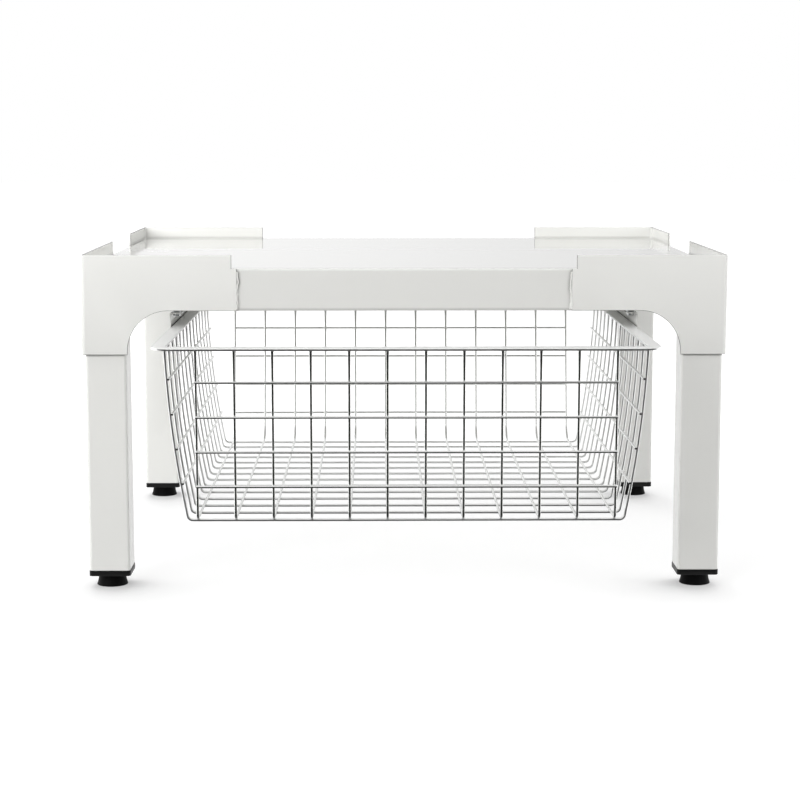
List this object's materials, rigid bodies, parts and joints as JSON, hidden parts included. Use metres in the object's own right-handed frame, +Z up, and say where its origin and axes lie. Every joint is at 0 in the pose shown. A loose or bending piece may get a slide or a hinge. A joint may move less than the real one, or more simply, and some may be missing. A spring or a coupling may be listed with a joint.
{
  "type": "washing machine pedestal",
  "caption": "White steel stand that raises a washing machine or dryer off the floor, with corner lips, levelling feet and a pull-out wire basket on runners.",
  "frame": {"origin": "centre of the platform's flat top face, where the machine stands", "axes": "+Z up and square to the platform, +X to the right as seen from the front, -Y towards the front where the basket pulls out"},
  "size_m": [0.63, 0.7275, 0.3302],
  "materials": {
    "white_powder_coat": "gloss white powder coat",
    "bright_plating": "bright plated",
    "black_plastic": "moulded",
    "zinc_steel": "zinc plated"
  },
  "bodies": {
    "frame": {"top_pan": "white_powder_coat", "bracket_front_left": "white_powder_coat", "bracket_front_right": "white_powder_coat", "bracket_rear_left": "white_powder_coat", "bracket_rear_right": "white_powder_coat", "leg_front_left": "white_powder_coat", "leg_front_right": "white_powder_coat", "leg_rear_left": "white_powder_coat", "leg_rear_right": "white_powder_coat", "leg_cap_front_left": "black_plastic", "leg_cap_front_right": "black_plastic", "leg_cap_rear_left": "black_plastic", "leg_cap_rear_right": "black_plastic", "runner_left": "white_powder_coat", "runner_right": "white_powder_coat", "runner_screws": "zinc_steel", "runner_spacers": "zinc_steel", "runner_nuts": "zinc_steel", "weld_beads": "white_powder_coat"},
    "basket": {"basket_rim": "bright_plating", "basket_long_wires": "bright_plating", "basket_cross_wires": "bright_plating", "basket_front_wires": "bright_plating", "basket_back_wires": "bright_plating", "basket_left_wires": "bright_plating", "basket_right_wires": "bright_plating"},
    "levelling_foot_front_left": {"foot_front_left": "black_plastic", "foot_stud_front_left": "zinc_steel"},
    "levelling_foot_front_right": {"foot_front_right": "black_plastic", "foot_stud_front_right": "zinc_steel"},
    "levelling_foot_rear_left": {"foot_rear_left": "black_plastic", "foot_stud_rear_left": "zinc_steel"},
    "levelling_foot_rear_right": {"foot_rear_right": "black_plastic", "foot_stud_rear_right": "zinc_steel"}
  },
  "joints": [
    {"name": "basket_slide", "type": "slide", "parent": "frame", "child": "basket", "axis": [0, -1, 0], "range_m": [-0.1855, 0.15]},
    {"name": "foot_height_front_left", "type": "slide", "parent": "frame", "child": "levelling_foot_front_left", "axis": [0, 0, -1], "range_m": [0, 0.015]},
    {"name": "foot_height_front_right", "type": "slide", "parent": "frame", "child": "levelling_foot_front_right", "axis": [0, 0, -1], "range_m": [0, 0.015]},
    {"name": "foot_height_rear_left", "type": "slide", "parent": "frame", "child": "levelling_foot_rear_left", "axis": [0, 0, -1], "range_m": [0, 0.015]},
    {"name": "foot_height_rear_right", "type": "slide", "parent": "frame", "child": "levelling_foot_rear_right", "axis": [0, 0, -1], "range_m": [0, 0.015]}
  ]
}
